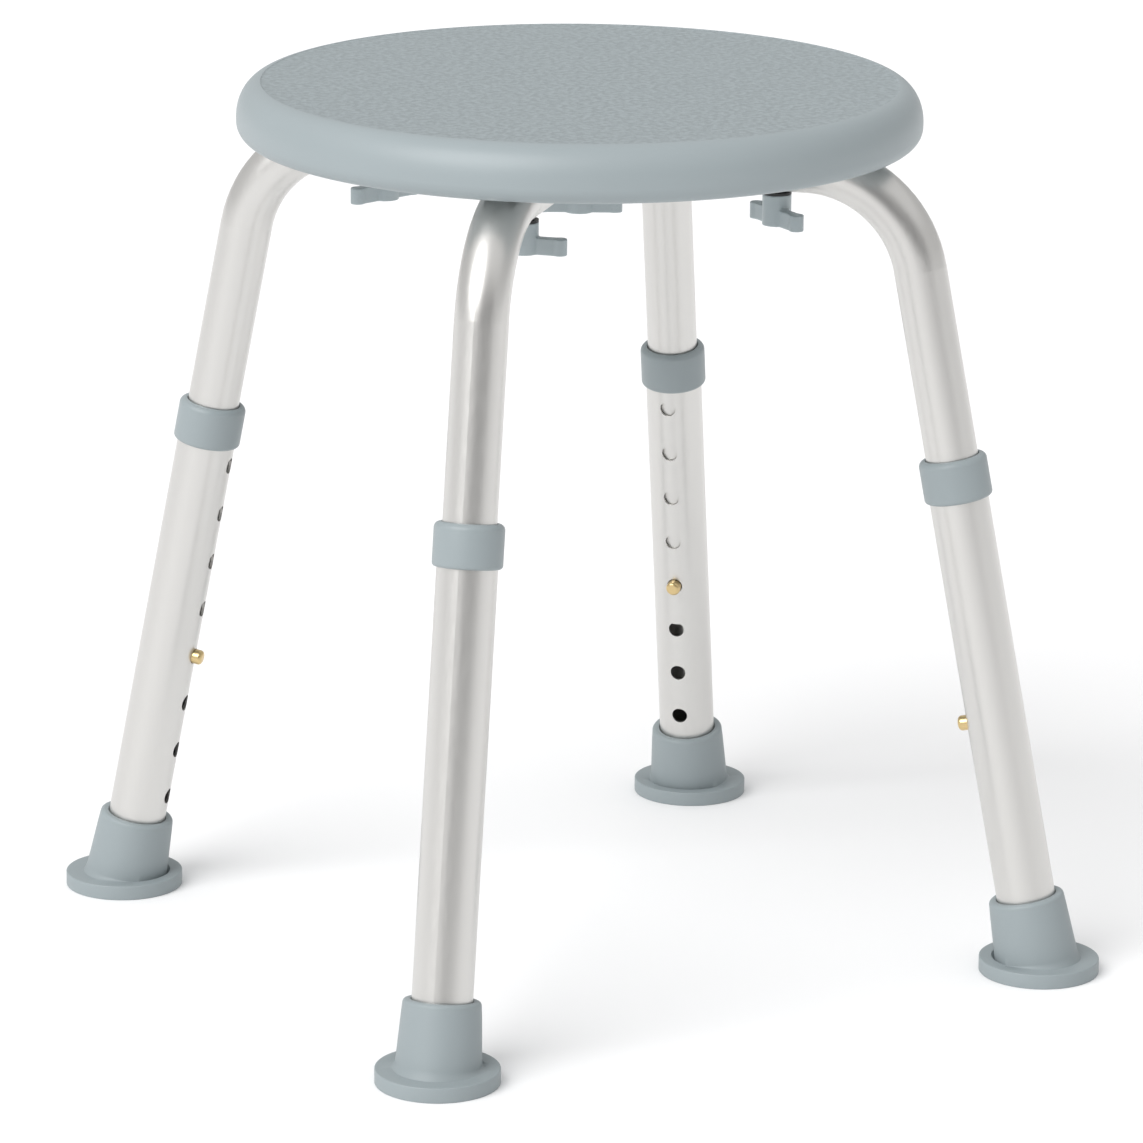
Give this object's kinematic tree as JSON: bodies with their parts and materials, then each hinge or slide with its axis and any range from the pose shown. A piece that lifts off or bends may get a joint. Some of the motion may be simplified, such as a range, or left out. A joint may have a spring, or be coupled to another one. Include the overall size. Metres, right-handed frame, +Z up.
{
  "type": "shower stool",
  "caption": "Round backless shower stool: plastic seat on a crossed tube frame, telescoping legs with snap buttons, rubber feet.",
  "frame": {"origin": "on the floor under the centre of the seat", "axes": "+Z up along the seat's axis; the legs stand on the diagonals of X and Y; -Y is called the front"},
  "size_m": [0.3924, 0.3924, 0.427],
  "materials": {
    "seat_plastic": "fine grip texture on top, smooth rim",
    "collar_plastic": "satin",
    "knob_plastic": "satin",
    "rubber": "matt",
    "aluminium": "satin anodised",
    "brass": "polished",
    "steel": "zinc plated",
    "washer_black": "matt"
  },
  "bodies": {
    "seat_and_frame": {"seat_shell": "seat_plastic", "seat_inserts": "brass", "frame_tube_a": "aluminium", "frame_tube_b": "aluminium", "button_spring_front_left": "steel", "button_spring_front_right": "steel", "button_spring_rear_right": "steel", "button_spring_rear_left": "steel"},
    "leg_front_left": {"lower_leg_front_left": "aluminium", "collar_front_left": "collar_plastic", "rubber_foot_front_left": "rubber", "foot_washer_front_left": "steel"},
    "button_front_left": {"snap_button_front_left": "brass"},
    "leg_front_right": {"lower_leg_front_right": "aluminium", "collar_front_right": "collar_plastic", "rubber_foot_front_right": "rubber", "foot_washer_front_right": "steel"},
    "button_front_right": {"snap_button_front_right": "brass"},
    "leg_rear_right": {"lower_leg_rear_right": "aluminium", "collar_rear_right": "collar_plastic", "rubber_foot_rear_right": "rubber", "foot_washer_rear_right": "steel"},
    "button_rear_right": {"snap_button_rear_right": "brass"},
    "leg_rear_left": {"lower_leg_rear_left": "aluminium", "collar_rear_left": "collar_plastic", "rubber_foot_rear_left": "rubber", "foot_washer_rear_left": "steel"},
    "button_rear_left": {"snap_button_rear_left": "brass"},
    "washer_front_left": {"screw_washer_front_left": "washer_black"},
    "hand_screw_front_left": {"wing_knob_front_left": "knob_plastic", "screw_stud_front_left": "steel"},
    "washer_front_right": {"screw_washer_front_right": "washer_black"},
    "hand_screw_front_right": {"wing_knob_front_right": "knob_plastic", "screw_stud_front_right": "steel"},
    "washer_rear_right": {"screw_washer_rear_right": "washer_black"},
    "hand_screw_rear_right": {"wing_knob_rear_right": "knob_plastic", "screw_stud_rear_right": "steel"},
    "washer_rear_left": {"screw_washer_rear_left": "washer_black"},
    "hand_screw_rear_left": {"wing_knob_rear_left": "knob_plastic", "screw_stud_rear_left": "steel"},
    "washer_centre": {"screw_washer_centre": "washer_black"},
    "hand_screw_centre": {"wing_knob_centre": "knob_plastic", "screw_stud_centre": "steel"}
  },
  "joints": [
    {"name": "leg_slide_front_left", "type": "slide", "parent": "seat_and_frame", "child": "leg_front_left", "axis": [-0.1349, -0.1349, -0.9816], "range_m": [-0.0762, 0.1016], "deforming": ["snap_button_front_left", "button_spring_front_left"]},
    {"name": "button_press_front_left", "type": "slide", "parent": "seat_and_frame", "child": "button_front_left", "axis": [-0.6941, -0.6941, 0.1908], "range_m": [0, 0.006], "stiffness_N_per_m": 1200, "springref_m": -0.004, "deforming": ["button_spring_front_left"]},
    {"name": "leg_slide_front_right", "type": "slide", "parent": "seat_and_frame", "child": "leg_front_right", "axis": [0.1349, -0.1349, -0.9816], "range_m": [-0.0762, 0.1016], "deforming": ["snap_button_front_right", "button_spring_front_right"]},
    {"name": "button_press_front_right", "type": "slide", "parent": "seat_and_frame", "child": "button_front_right", "axis": [0.6941, -0.6941, 0.1908], "range_m": [0, 0.006], "stiffness_N_per_m": 1200, "springref_m": -0.004, "deforming": ["button_spring_front_right"]},
    {"name": "leg_slide_rear_right", "type": "slide", "parent": "seat_and_frame", "child": "leg_rear_right", "axis": [0.1349, 0.1349, -0.9816], "range_m": [-0.0762, 0.1016], "deforming": ["snap_button_rear_right", "button_spring_rear_right"]},
    {"name": "button_press_rear_right", "type": "slide", "parent": "seat_and_frame", "child": "button_rear_right", "axis": [0.6941, 0.6941, 0.1908], "range_m": [0, 0.006], "stiffness_N_per_m": 1200, "springref_m": -0.004, "deforming": ["button_spring_rear_right"]},
    {"name": "leg_slide_rear_left", "type": "slide", "parent": "seat_and_frame", "child": "leg_rear_left", "axis": [-0.1349, 0.1349, -0.9816], "range_m": [-0.0762, 0.1016], "deforming": ["snap_button_rear_left", "button_spring_rear_left"]},
    {"name": "button_press_rear_left", "type": "slide", "parent": "seat_and_frame", "child": "button_rear_left", "axis": [-0.6941, 0.6941, 0.1908], "range_m": [0, 0.006], "stiffness_N_per_m": 1200, "springref_m": -0.004, "deforming": ["button_spring_rear_left"]},
    {"name": "screw_travel_front_left", "type": "slide", "parent": "seat_and_frame", "child": "washer_front_left", "axis": [0, 0, -1], "range_m": [0, 0.01026]},
    {"name": "screw_turn_front_left", "type": "hinge", "parent": "washer_front_left", "child": "hand_screw_front_left", "pos_m": [-0.0693, -0.0693, 0.37], "axis": [0, 0, -1], "range_deg": [0, 2880]},
    {"name": "screw_travel_front_right", "type": "slide", "parent": "seat_and_frame", "child": "washer_front_right", "axis": [0, 0, -1], "range_m": [0, 0.01026]},
    {"name": "screw_turn_front_right", "type": "hinge", "parent": "washer_front_right", "child": "hand_screw_front_right", "pos_m": [0.0693, -0.0693, 0.37], "axis": [0, 0, -1], "range_deg": [0, 2880]},
    {"name": "screw_travel_rear_right", "type": "slide", "parent": "seat_and_frame", "child": "washer_rear_right", "axis": [0, 0, -1], "range_m": [0, 0.01026]},
    {"name": "screw_turn_rear_right", "type": "hinge", "parent": "washer_rear_right", "child": "hand_screw_rear_right", "pos_m": [0.0693, 0.0693, 0.37], "axis": [0, 0, -1], "range_deg": [0, 2880]},
    {"name": "screw_travel_rear_left", "type": "slide", "parent": "seat_and_frame", "child": "washer_rear_left", "axis": [0, 0, -1], "range_m": [0, 0.01026]},
    {"name": "screw_turn_rear_left", "type": "hinge", "parent": "washer_rear_left", "child": "hand_screw_rear_left", "pos_m": [-0.0693, 0.0693, 0.37], "axis": [0, 0, -1], "range_deg": [0, 2880]},
    {"name": "screw_travel_centre", "type": "slide", "parent": "seat_and_frame", "child": "washer_centre", "axis": [0, 0, -1], "range_m": [0, 0.01026]},
    {"name": "screw_turn_centre", "type": "hinge", "parent": "washer_centre", "child": "hand_screw_centre", "pos_m": [0, 0, 0.37], "axis": [0, 0, -1], "range_deg": [0, 2880]}
  ],
  "couplings": [
    {"joint": "screw_travel_front_left", "follows": "screw_turn_front_left", "m_per_rad": 0.00020213},
    {"joint": "screw_travel_front_right", "follows": "screw_turn_front_right", "m_per_rad": 0.00020213},
    {"joint": "screw_travel_rear_right", "follows": "screw_turn_rear_right", "m_per_rad": 0.00020213},
    {"joint": "screw_travel_rear_left", "follows": "screw_turn_rear_left", "m_per_rad": 0.00020213},
    {"joint": "screw_travel_centre", "follows": "screw_turn_centre", "m_per_rad": 0.00020213}
  ]
}
